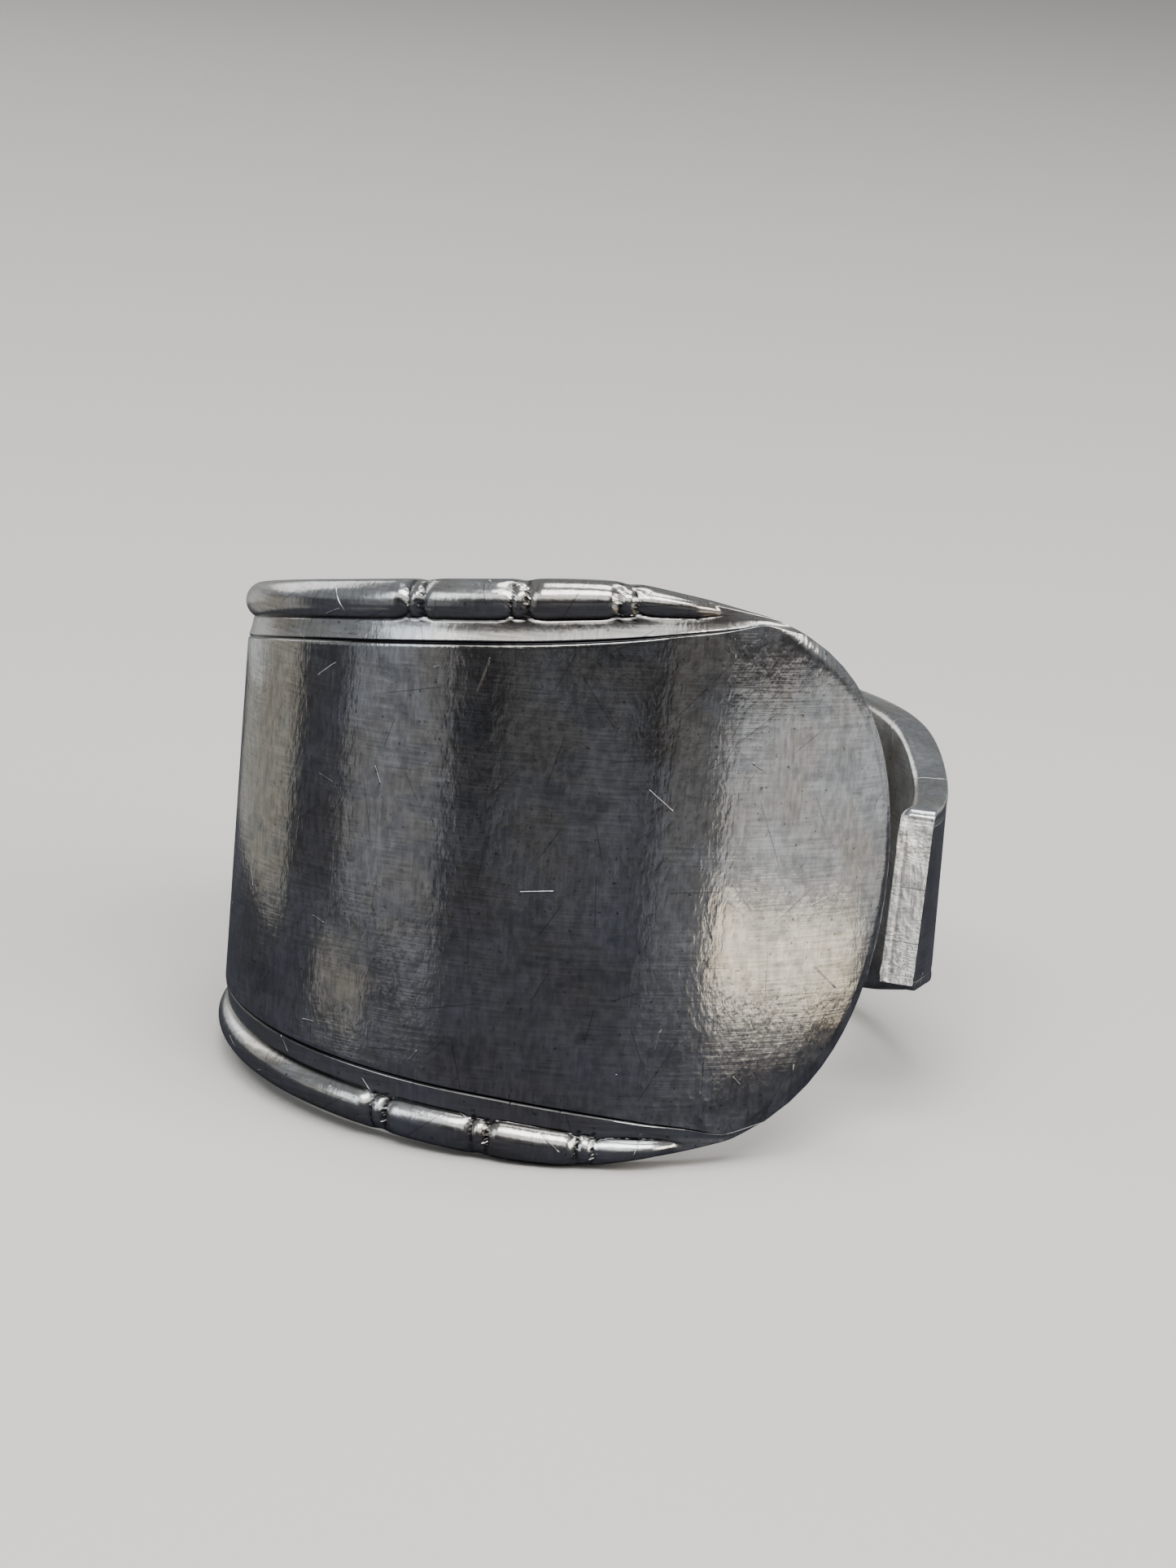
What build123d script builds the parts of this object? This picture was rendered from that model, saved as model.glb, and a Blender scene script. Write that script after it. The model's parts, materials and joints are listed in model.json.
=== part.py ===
"""A finger ring bent from the handle of a flatware spoon.

The handle is rolled once round the finger with its decorated face outwards. Its round tip ends
just short of the sawn end of the neck, so the band is open there by a few millimetres. Both long
edges carry a border: a half-round rib that breaks up into beads near the tip, and a shallow
valley between the rib and the panel. The two borders run out at the corners of the tip arc.

Millimetres, +Z up. The ring lies on its side on the plane Z = 0, as it would by itself. The band
is narrower at the back than at the front, so it leans back a little until the back edge touches.
The origin is the bottom centre of its bounding box, and the front faces -Y.

Lengths called "along" are measured on the face of the band, from the middle of the tip.
"""
from build123d import *
import math
import os

# Driving dimensions
bore_diameter = 22.2       # finger hole
wall = 1.2                 # thickness of the handle at its plain panel
gap_length = 3.0           # opening between the tip and the sawn end, on the face
widest_width = 19.1        # width across both borders, at the widest place
neck_width = 6.1           # width at the sawn end
roll_drop = 1.5            # how far the middle of the sawn end lies below that of the tip
tip_depth = 6.5            # how far the corners of the tip arc lie behind its middle
tip_chord = 17.3           # straight distance between those corners
tip_bevel = 0.3            # bevel round the outer edge of the tip arc
bevel_angle = 35.0         # lean of that bevel's face, degrees
border_width = 1.9         # rib and valley together
rib_height = 0.19          # rib above the panel
valley_depth = 0.14        # valley below the panel
edge_chamfer = 0.25        # broken edge along the bore
bead_radius = 0.64         # cross section of a bead
bead_sink = 0.45           # bead centre line below the panel's face
bead_overlap = 0.35        # how far the pointed ends of neighbouring beads run into each other
sawn_skew = 8.0            # how far the sawn end is out of square, degrees
tip_bearing = -34.8        # where the middle of the tip stands round the bore, degrees

bore_radius = bore_diameter / 2
face_radius = bore_radius + wall
handle_length = 2 * math.pi * face_radius - gap_length

# The outline behind the tip arc. Columns: place along the handle as a share of handle_length;
# half width as a share of the way from the neck (0) to the widest place (1).
OUTLINE = [
    (0.118, 0.938),
    (0.157, 1.000),
    (0.220, 0.962),
    (0.298, 0.877),
    (0.390, 0.762),
    (0.482, 0.662),
    (0.613, 0.515),
    (0.748, 0.400),
    (0.830, 0.354),
    (0.888, 0.269),
    (0.937, 0.085),
    (0.975, 0.010),
    (1.000, 0.000),
]

# How the border swells and fades. Columns: place along the handle as a share of handle_length;
# border width, rib height and valley depth, each as a share of its full size.
BORDER = [
    (0.000, 0.10, 0.10, 0.10),
    (0.088, 0.15, 0.12, 0.15),
    (0.118, 0.50, 0.35, 0.60),
    (0.157, 0.85, 0.50, 1.00),
    (0.220, 0.95, 0.55, 1.00),
    (0.298, 1.00, 1.00, 1.00),
    (0.482, 0.95, 0.95, 0.90),
    (0.703, 0.80, 0.70, 0.60),
    (0.832, 0.60, 0.40, 0.30),
    (0.937, 0.30, 0.10, 0.12),
    (1.000, 0.25, 0.08, 0.10),
]

# The border's cross section, from the band's edge inwards. Columns: distance from the edge as a
# share of the border's width; height above the panel's face in rib heights and valley depths.
BORDER_PROFILE = [
    (0.00, -1.50, 0.0),
    (0.32, 1.00, 0.0),
    (0.64, 0.00, -1.0),
    (0.82, 0.00, -0.8),
    (1.00, 0.00, -0.3),
    (1.05, 0.00, 0.0),
]

# The beads of a border. Columns: where a bead starts and ends as shares of handle_length; its
# thickness as a share of bead_radius. The last one is the rounded start of the long smooth rib.
BEADS = [
    (0.089, 0.107, 0.60),
    (0.107, 0.150, 0.95),
    (0.150, 0.198, 1.00),
    (0.198, 0.247, 1.00),
    (0.247, 0.306, 1.00),
]

section_count = 25         # cross sections that the band is lofted through
stand_count = 120          # places along the lower edge that the ring is tried on


def read_table(table, place, column):
    """The value of a table's column at a place, on a smooth curve through its rows."""
    rows = sorted(table)
    if place <= rows[0][0]:
        return rows[0][column]
    if place >= rows[-1][0]:
        return rows[-1][column]
    low = max(i for i, row in enumerate(rows) if row[0] <= place)
    step = rows[low + 1][0] - rows[low][0]
    share = (place - rows[low][0]) / step

    def slope(i):
        before, after = max(i - 1, 0), min(i + 1, len(rows) - 1)
        return (rows[after][column] - rows[before][column]) / (rows[after][0] - rows[before][0])

    rise = rows[low + 1][column] - rows[low][column]
    start = step * slope(low)
    end = step * slope(low + 1)
    bend = (3 * rise - 2 * start - end) * share ** 2 + (start + end - 2 * rise) * share ** 3
    return rows[low][column] + start * share + bend


def outline_rows():
    """The outline table with two rows before it, which run on straight past the tip's corner."""
    corner = (tip_chord - neck_width) / (widest_width - neck_width)
    place = tip_depth / handle_length
    flare = (OUTLINE[0][1] - corner) / (OUTLINE[0][0] - place)
    return [(0.0, corner - flare * place), (place, corner)] + OUTLINE


def half_width(along):
    """Half the band's width at a place behind the tip arc."""
    share = read_table(outline_rows(), along / handle_length, 1)
    return (neck_width + share * (widest_width - neck_width)) / 2


def middle_line(along):
    """How high the middle of the band stands above the middle of the bore at a place."""
    return roll_drop * (0.5 - along / handle_length)


def outward_at(along):
    """The direction away from the bore's axis at a place along the handle."""
    turn = math.radians(tip_bearing) - along / face_radius
    return Vector(math.cos(turn), math.sin(turn), 0)


def onward_at(along, rise=0.0):
    """The direction towards the sawn end at a place, climbing by a rise for each millimetre."""
    outward = outward_at(along)
    return Vector(outward.Y, -outward.X, rise).normalized()


def band_section(along):
    """The band's cross section at a place along the handle."""
    place = along / handle_length
    half = half_width(along)
    border = border_width * read_table(BORDER, place, 1)
    rib = rib_height * read_table(BORDER, place, 2)
    valley = valley_depth * read_table(BORDER, place, 3)
    inner_edge = (bore_radius - edge_chamfer, half - 2 * edge_chamfer)
    side = [inner_edge, (bore_radius + edge_chamfer, half)]
    for inwards, ribs, valleys in BORDER_PROFILE:
        height = ribs * rib + valleys * valley
        side.append((face_radius + height, half - inwards * border))
    edges = []
    for way in (1, -1):
        point = [(radius, way * width) for radius, width in side]
        edges.append(Line(point[0], point[1]))
        edges.append(Line(point[1], point[2]))
        edges.append(ThreePointArc(point[2], point[3], point[4]))
        edges.append(ThreePointArc(point[4], point[5], point[6]))
        edges.append(Line(point[6], point[7]))
    panel = side[-1]
    edges.append(Line(panel, (panel[0], -panel[1])))
    edges.append(Line((inner_edge[0], -inner_edge[1]), inner_edge))
    plane = Plane(origin=(0, 0, middle_line(along)), x_dir=outward_at(along),
                  z_dir=onward_at(along))
    return plane * make_face(edges)


def rolled_handle():
    """The rolled band with its ribs, longer than it should be at both ends."""
    spare = gap_length / 4
    pitch = (handle_length + 2 * spare) / (section_count - 1)
    sections = [band_section(pitch * i - spare) for i in range(section_count)]
    return loft(sections) - Cylinder(bore_radius, 2 * widest_width)


def tip_trimmer():
    """What is cut away round the tip: all that lies outside its arc, with a bevelled edge."""
    half_turn = tip_depth / 2 / face_radius
    reach = face_radius * math.sin(half_turn)
    clear = face_radius * math.sin(half_turn + gap_length / 2 / face_radius)
    arc_radius = ((tip_chord / 2) ** 2 + (2 * reach) ** 2) / (4 * reach)
    low = face_radius * math.cos(half_turn) - tip_bevel
    high = face_radius + bead_radius + rib_height
    narrow = arc_radius - (high - low) * math.tan(math.radians(bevel_angle))
    kept = make_face(Polyline((0, 0), (arc_radius, 0), (arc_radius, low), (narrow, high),
                              (0, high), (0, 0)))
    kept = Rot(90, 0, 0) * kept
    kept = Pos(arc_radius - reach, 0, 0) * revolve(kept, Axis.Z, 360)
    block = Pos(-clear, 0, 0) * Box(clear + reach, 2 * widest_width, high,
                                    align=(Align.MIN, Align.CENTER, Align.MIN))
    middle = tip_depth / 2
    plane = Plane(origin=(0, 0, middle_line(middle)), x_dir=onward_at(middle),
                  z_dir=outward_at(middle))
    return plane * (block - kept)


def neck_trimmer():
    """What is sawn off behind the neck's end, a little out of square."""
    outward = outward_at(handle_length)
    start = outward * (face_radius - wall / 2) + Vector(0, 0, middle_line(handle_length))
    plane = Plane(origin=start, x_dir=onward_at(handle_length), z_dir=outward)
    block = Box(gap_length / 2, 2 * neck_width, 4 * wall,
                align=(Align.MIN, Align.CENTER, Align.CENTER))
    return plane * (Rot(0, 0, -sawn_skew) * block)


def bead(start, end, thickness, way):
    """One bead of the upper (way 1) or lower (way -1) border: a spindle along the edge."""
    middle = (start + end) / 2
    radius = bead_radius * thickness

    def level(along):
        return way * (half_width(along) - radius) + middle_line(along)

    outward = outward_at(middle)
    onward = onward_at(middle, (level(end) - level(start)) / (end - start))
    centre = outward * (face_radius - bead_sink) + Vector(0, 0, level(middle))
    reach = (end - start + bead_overlap) / 2
    outline = make_face([EllipticalCenterArc((0, 0), reach, radius, 0, arc_size=180),
                         Line((-reach, 0), (reach, 0))])
    plane = Plane(origin=centre, x_dir=onward, z_dir=outward)
    return plane * revolve(outline, Axis.X, 360)


def beads():
    """The beads of both borders."""
    lumps = []
    for start, end, thickness in BEADS:
        for way in (1, -1):
            lumps.append(bead(start * handle_length, end * handle_length, thickness, way))
    return lumps


def ring_band():
    """The whole ring in its own upright frame, with the bore on Z."""
    solid = rolled_handle() - tip_trimmer()
    for lump in beads():
        solid += lump
    return solid - Cylinder(bore_radius, 2 * widest_width) - neck_trimmer()


def lower_edge():
    """Points along the band's lower edge, on which the ring can stand."""
    points = []
    for i in range(stand_count + 1):
        along = tip_depth + (handle_length - tip_depth) * i / stand_count
        low = Vector(0, 0, middle_line(along) - half_width(along))
        for radius in (bore_radius + edge_chamfer, face_radius):
            points.append(outward_at(along) * radius + low)
    return points


def lying_direction(solid):
    """Which way is up for the ring when its centre of mass lies as low as it can."""
    centre = solid.center(CenterOf.MASS)
    edge = [point - centre for point in lower_edge()]

    def height(tilt):
        up = Vector(tilt[0], tilt[1], 1).normalized()
        return max(-up.dot(point) for point in edge)

    tilt = (0.0, 0.0)
    step = 0.1
    while step > 0.0001:
        near = [(tilt[0] + step * i, tilt[1] + step * j) for i in (-1, 0, 1) for j in (-1, 0, 1)]
        best = min(near, key=height)
        if height(best) < height(tilt):
            tilt = best
        else:
            step /= 2
    return Vector(tilt[0], tilt[1], 1).normalized()


def lay_down(solid):
    """Tilt the ring to the way it lies, and stand it on Z = 0."""
    up = lying_direction(solid)
    hinge = Axis((0, 0, 0), (up.Y, -up.X, 0))
    lean = math.degrees(math.acos(up.Z))
    turned = solid.rotate(hinge, lean)
    box = turned.bounding_box()
    shift = Vector(-box.center().X, -box.center().Y, -box.min.Z)
    bore_axis = Vector(0, 0, 1).rotate(hinge, lean)
    upright = solid.bounding_box()
    print("bore centre", shift, "bore axis", bore_axis, "lean", round(lean, 2))
    print("wall along the axis", round(upright.min.Z, 3), round(upright.max.Z, 3))
    return turned.moved(Location(shift))


os.makedirs("parts", exist_ok=True)
ring = lay_down(ring_band())
ring.label = "ring_band"
print("volume", round(ring.volume, 1), "box", ring.bounding_box().size)
export_step(ring, "parts/ring_band.step")
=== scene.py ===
"""A finger ring bent from the handle of a flatware spoon, dressed for close views.

The handle is first laid out flat as a closed blank, with its outline, its round tip, its sawn end
and its struck borders. A node tree then rolls the blank round the finger hole, with the lean
that the ring has at rest, and gives each zone of it its finish. Sizes are in millimetres until
the blank's mesh is made. Lengths called "along" run from the middle of the tip to the sawn end.
"""

import json
import logging
import math
from dataclasses import dataclass, field
from enum import Enum
from typing import NamedTuple

import bpy
import numpy as np
from mathutils import Matrix, Quaternion, Vector


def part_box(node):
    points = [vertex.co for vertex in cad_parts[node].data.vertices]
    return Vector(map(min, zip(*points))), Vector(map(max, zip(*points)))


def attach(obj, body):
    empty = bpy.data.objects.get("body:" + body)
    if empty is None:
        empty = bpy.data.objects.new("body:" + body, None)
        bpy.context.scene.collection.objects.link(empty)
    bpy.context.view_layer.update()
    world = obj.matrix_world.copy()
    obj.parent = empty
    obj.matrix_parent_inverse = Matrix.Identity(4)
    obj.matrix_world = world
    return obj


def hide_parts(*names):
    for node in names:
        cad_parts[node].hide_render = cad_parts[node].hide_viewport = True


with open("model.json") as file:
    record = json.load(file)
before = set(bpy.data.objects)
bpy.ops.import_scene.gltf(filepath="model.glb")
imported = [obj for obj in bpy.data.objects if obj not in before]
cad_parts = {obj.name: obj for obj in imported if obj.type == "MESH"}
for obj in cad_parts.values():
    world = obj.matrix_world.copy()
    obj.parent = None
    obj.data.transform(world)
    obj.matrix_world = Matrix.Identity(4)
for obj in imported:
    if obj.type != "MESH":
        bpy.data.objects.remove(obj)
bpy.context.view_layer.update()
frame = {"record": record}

MM = 0.001
TINY = 1e-6
NUMBER = "NodeSocketFloat"
VECTOR = "NodeSocketVector"
log = logging.getLogger("spoon_ring")

Socket = bpy.types.NodeSocket
Triple = tuple[float, float, float]
Colour = Triple
Span = tuple[float, float]
Table = tuple[tuple[float, ...], ...]


class Zone(Enum):
    """The parts of the band that were finished in different ways."""

    PANEL = 0
    BORDER = 1
    BORE = 2
    SAWN = 3

    @property
    def socket(self) -> str:
        """The name of the rolling tree's input for this zone's material."""
        return self.name.title() + " Material"


class LongEdge(Enum):
    """The handle's long edges, by the face's column that runs along each."""

    LOWER = 0
    UPPER = -1


class End(Enum):
    """The handle's ends, by the face's row that runs along each."""

    TIP = 0
    SAWN = -1


class Lean(NamedTuple):
    """How the ring leans at rest: the hinge and the angle of its turn from upright."""

    hinge: Vector
    angle: float


def read_table(rows: Table, places: np.ndarray, column: int = 1) -> np.ndarray:
    """Reads a column of a table at many places, on a smooth curve through its rows.

    Args:
        rows: The table, with rising places in its first column.
        places: Where to read it.
        column: Which column to read.

    Returns:
        The column's value at each place, held level beyond the table's ends.
    """
    x = np.array([row[0] for row in rows])
    y = np.array([row[column] for row in rows])
    slope = np.gradient(y, x)
    slope[1:-1] = (y[2:] - y[:-2]) / (x[2:] - x[:-2])
    place = np.clip(places, x[0], x[-1])
    low = np.clip(np.searchsorted(x, place, side="right") - 1, 0, len(x) - 2)
    step = x[low + 1] - x[low]
    share = (place - x[low]) / step
    rise = y[low + 1] - y[low]
    start, end = step * slope[low], step * slope[low + 1]
    bend = (3 * rise - 2 * start - end) * share**2 + (start + end - 2 * rise) * share**3
    return y[low] + start * share + bend


def round_over(place: np.ndarray) -> np.ndarray:
    """The height of a rounded shoulder: 0 and steep at place 0, then level and 1 from 1 on."""
    return np.sqrt(1 - (1 - np.clip(place, 0, 1)) ** 2)


@dataclass(frozen=True)
class HandleSizes:
    """The handle's sizes, which are those of the solid, in millimetres and degrees."""

    bore_radius: float = 11.1
    wall: float = 1.2
    gap_length: float = 3.0
    widest_width: float = 19.1
    neck_width: float = 6.1
    roll_drop: float = 1.5
    tip_depth: float = 6.5
    tip_chord: float = 17.3
    sawn_skew: float = 8.0
    tip_bearing: float = -34.8

    @property
    def face_radius(self) -> float:
        """The radius of the plain panel's face."""
        return self.bore_radius + self.wall

    @property
    def length(self) -> float:
        """The length of the handle on its face."""
        return 2 * math.pi * self.face_radius - self.gap_length

    @property
    def tip_radius(self) -> float:
        """The radius of the tip's arc, laid out flat."""
        return ((self.tip_chord / 2) ** 2 + self.tip_depth**2) / (2 * self.tip_depth)


@dataclass(frozen=True)
class Bead:
    """One raised bead of a border, from where it starts to where it ends along the handle."""

    start: float
    end: float
    fullness: float = 1.0
    rounding: float = 0.5


@dataclass
class Border:
    """The raised border along both long edges of the handle, in millimetres.

    From the edge inwards it has a row of long beads and small reels, a crease at the beads' foot,
    a shallow valley and a fine dark line. The last of the beads is a plain rib that runs on to
    the sawn end. In the table of shares, the second column is for the border's width and the
    third for its height.
    """

    width: float = 1.9
    bead_share: float = 0.335
    sink: float = 0.475
    saddle: float = 0.62
    bead_bluntness: float = 2.2
    valley_depth: float = 0.14
    valley_share: float = 0.38
    crease_depth: float = 0.05
    crease_width: float = 0.06
    line_depth: float = 0.07
    line_share: float = 0.04
    # How strongly the fine line, and the border's height, fill in the painted shade.
    line_fill: float = 3.0
    shade_fill: float = 2.0
    notch_depth: float = 0.06
    notch_length: float = 0.3
    notch_reach: float = 0.7
    reel_limit: float = 1.0
    seam_width: float = 0.05
    edge_drop: float = 0.3
    rim_share: float = 0.2
    shares: Table = (
        (6.50, 0.30, 0.30),
        (8.00, 0.64, 0.70),
        (9.20, 0.80, 0.88),
        (10.9, 0.92, 0.96),
        (13.1, 0.98, 1.00),
        (15.6, 1.00, 1.00),
        (35.6, 0.96, 0.95),
        (52.1, 0.80, 0.66),
        (61.6, 0.60, 0.38),
        (69.6, 0.32, 0.10),
        (74.3, 0.26, 0.08),
    )
    beads: tuple[Bead, ...] = (
        Bead(7.90, 10.86, 0.96, 1.3),
        Bead(10.93, 11.42, 0.82, 0.2),
        Bead(11.49, 14.38),
        Bead(14.45, 14.94, 0.84, 0.2),
        Bead(15.01, 18.04),
        Bead(18.11, 18.60, 0.84, 0.2),
        Bead(18.67, 95.0, 1.0, 0.7),
    )

    @property
    def reels(self) -> list[Bead]:
        """The small lumps between two long beads."""
        return [bead for bead in self.beads if bead.end - bead.start < self.reel_limit]

    @property
    def base_share(self) -> float:
        """How far from its middle a bead meets the valley, over the bead's radius."""
        below = (self.sink - self.valley_depth) / (self.bead_share * self.width)
        return math.sqrt(1 - below**2)

    def share(self, along: np.ndarray) -> np.ndarray:
        """How much of its full width the border has at each place."""
        return read_table(self.shares, along)

    def bead_swell(self, along: np.ndarray, bead: Bead) -> np.ndarray:
        """Shapes one bead along the handle.

        Args:
            along: Places along the handle.
            bead: The bead.

        Returns:
            How full the bead is at each place: most in its middle, round to 0 at its ends.
        """
        near = np.minimum(along - bead.start, bead.end - along) / bead.rounding
        near = np.clip(near, 0.0, 1.0)
        return bead.fullness * np.sqrt(1.0 - (1.0 - near) ** self.bead_bluntness)

    def notches(self, along: np.ndarray, inwards: np.ndarray) -> np.ndarray:
        """Draws the outline in a little at each reel.

        Args:
            along: Places along the handle.
            inwards: Distances from the nearer long edge.

        Returns:
            How far each point moves inwards.
        """
        inset = np.zeros_like(along)
        for reel in self.reels:
            middle = (reel.start + reel.end) / 2
            inset += np.exp(-(((along - middle) / self.notch_length) ** 2))
        return inset * self.notch_depth * np.clip(1 - inwards / self.notch_reach, 0, 1)

    def seams(self, along: np.ndarray) -> np.ndarray:
        """Marks the seams between beads and reels.

        Args:
            along: Places along the handle.

        Returns:
            How close each place is to a seam, with 1 on it.
        """
        marked = np.zeros_like(along)
        for reel in self.reels:
            for seam in (reel.start, reel.end):
                marked += np.exp(-(((along - seam) / self.seam_width) ** 2))
        return marked

    def relief(self, along: np.ndarray, inwards: np.ndarray) -> tuple[np.ndarray, np.ndarray]:
        """The height of the struck border above the plain panel, and the painted shade in its
        recesses.

        Args:
            along: Places along the handle.
            inwards: Distances from the nearer long edge.

        Returns:
            The height at each point in millimetres, and how much painted shade each point holds.
        """
        rise = read_table(self.shares, along, 2)
        width = self.width * self.share(along)
        place = inwards / width
        down = np.clip((1 - place) / self.valley_share, 0, 1)
        valley = self.valley_depth * (1 - (1 - down) ** 2)
        edge = self.edge_drop * (1 - round_over(place / self.rim_share))

        swell = np.zeros_like(along)
        for bead in self.beads:
            swell = np.maximum(swell, self.bead_swell(along, bead))
        begun = round_over((along - self.beads[0].start) / self.beads[0].rounding)
        swell = (self.saddle + (1 - self.saddle) * swell) * begun
        radius = self.bead_share * width
        reach = np.maximum(radius * swell, TINY)
        across_bead = np.clip(1 - ((inwards - radius) / reach) ** 2, 0, 1)
        bead_height = self.bead_share * self.width * swell * np.sqrt(across_bead) - self.sink

        beyond = (inwards - radius - self.base_share * reach) / self.crease_width
        creased = np.exp(-(beyond**2)) * begun
        height = np.maximum(-valley - edge - self.crease_depth * creased, bead_height)
        line = np.clip(1 - np.abs(place - 1) / self.line_share, 0, 1)
        # Painted shade: the crease at the beads' foot, the fine line and the seams are darkened in
        # colour, more where the border stands higher.
        dirt = np.maximum(creased, np.clip(self.line_fill * line, 0, 1))
        dirt = np.maximum(dirt, self.seams(along) * (place < 2 * self.bead_share))
        return (height - self.line_depth * line) * rise, dirt * np.clip(self.shade_fill * rise, 0, 1)


class Skin:
    """A closed mesh that is put together from grids of points, in millimetres."""

    def __init__(self) -> None:
        """Starts without points and faces."""
        self.points: list[np.ndarray] = []
        self.faces: list[tuple[int, ...]] = []
        self.zones: list[int] = []
        self.count = 0

    def keep(self, block: np.ndarray) -> np.ndarray:
        """Adds a block of points.

        Args:
            block: The points, with their three parts on the last axis.

        Returns:
            The points' numbers, in the block's own shape.
        """
        shape = block.shape[:-1]
        numbers = self.count + np.arange(math.prod(shape)).reshape(shape)
        self.points.append(block.reshape(-1, 3))
        self.count += numbers.size
        return numbers

    def cover(self, grid: np.ndarray, zones: np.ndarray | int, flip: bool = False) -> None:
        """Lays four-sided faces over a grid of points.

        Args:
            grid: The points' numbers.
            zones: The number of each face's zone, or one number for all of them.
            flip: Whether the faces look the other way.
        """
        a, b, c, d = grid[:-1, :-1], grid[1:, :-1], grid[1:, 1:], grid[:-1, 1:]
        corners = (a, d, c, b) if flip else (a, b, c, d)
        self.faces += map(tuple, np.stack(corners, axis=-1).reshape(-1, 4).tolist())
        self.zones += np.broadcast_to(zones, a.shape).ravel().tolist()

    def stitch(self, rim: np.ndarray, line: np.ndarray, zone: int, flip: bool = False) -> None:
        """Joins two rows of points with different counts by a strip of triangles.

        Args:
            rim: Point numbers of the first row.
            line: Point numbers of the second row, with the same two end points.
            zone: The number of the triangles' zone.
            flip: Whether the triangles look the other way.
        """
        across = np.concatenate(self.points)[:, 1]
        i = j = 0
        while i < len(rim) - 1 or j < len(line) - 1:
            step_rim = j == len(line) - 1 or (
                i < len(rim) - 1 and across[rim[i + 1]] <= across[line[j + 1]])
            corners = (rim[i], line[j], rim[i + 1] if step_rim else line[j + 1])
            if len(set(corners)) == 3:
                self.faces.append(tuple(int(v) for v in (corners[::-1] if flip else corners)))
                self.zones.append(zone)
            i, j = (i + 1, j) if step_rim else (i, j + 1)

    def mesh(self, name: str, dirt: np.ndarray) -> bpy.types.Mesh:
        """Makes the mesh, in metres.

        Args:
            name: The mesh's name.
            dirt: How much painted shade the first points hold in their recesses. The others hold
                none.

        Returns:
            The mesh, with the face attribute "zone" and the point attributes "place", in
            millimetres, and "dirt", the painted shade in the recesses.
        """
        corners = np.concatenate(self.points)
        mesh = bpy.data.meshes.new(name)
        mesh.from_pydata((corners * MM).tolist(), [], self.faces)
        mesh.attributes.new("zone", "INT", "FACE").data.foreach_set("value", self.zones)
        spot = mesh.attributes.new("place", "FLOAT_VECTOR", "POINT")
        spot.data.foreach_set("vector", corners.astype(np.float32).ravel())
        held = np.zeros(len(corners), dtype=np.float32)
        held[:dirt.size] = dirt.ravel()
        mesh.attributes.new("dirt", "FLOAT", "POINT").data.foreach_set("value", held)
        mesh.polygons.foreach_set("use_smooth", [True] * len(self.faces))
        mesh.validate()
        return mesh


@dataclass
class Face:
    """The decorated face as rows of points that run across the handle.

    Each row has an end on the long edges and half a width. Each point has its place in space, how
    far it lies from the edge over the border's width, and how much painted shade it holds.
    """

    end: np.ndarray
    half: np.ndarray
    points: np.ndarray
    across_border: np.ndarray
    dirt: np.ndarray


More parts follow.
